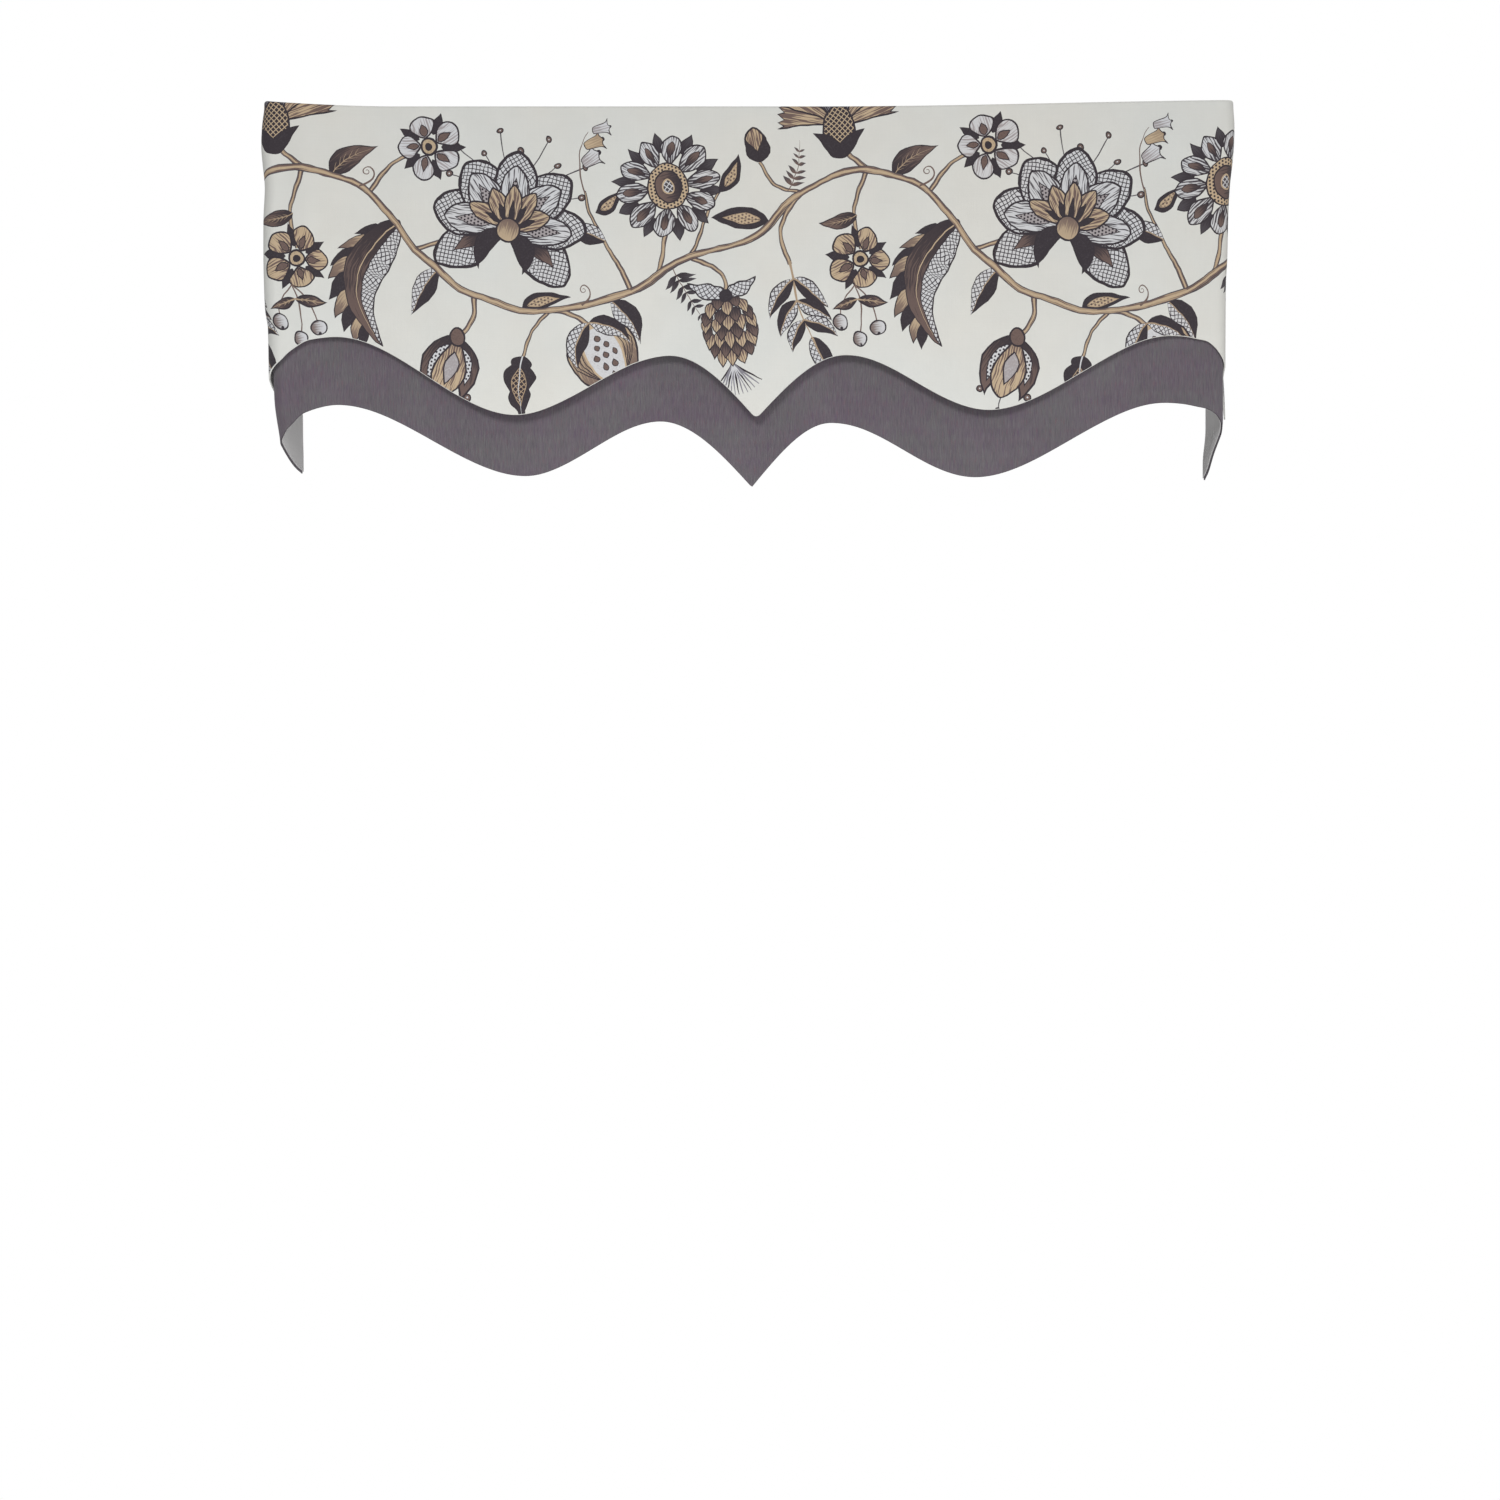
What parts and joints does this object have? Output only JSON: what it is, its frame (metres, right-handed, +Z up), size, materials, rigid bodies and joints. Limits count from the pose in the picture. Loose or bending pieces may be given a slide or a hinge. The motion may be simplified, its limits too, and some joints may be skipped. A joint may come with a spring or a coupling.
{
  "type": "window valance",
  "caption": "Window valance with returns: a printed face panel over a longer plain panel, both with scalloped hems, and a pale lining.",
  "frame": {"origin": "on the top fold, at the middle of the width and of the fold's thickness", "axes": "+Z up; +X along the width, to the right as seen from the room; the face looks along -Y and the returns run back along +Y to the wall"},
  "size_m": [1.1226, 0.0962, 0.4392],
  "materials": {
    "face_cloth": "printed cotton, matte",
    "plain_cloth": "slub weave, matte",
    "lining_cloth": "plain weave, matte"
  },
  "bodies": {
    "root": {"face_panel": "face_cloth", "plain_panel": "plain_cloth", "lining": "lining_cloth"}
  },
  "joints": []
}
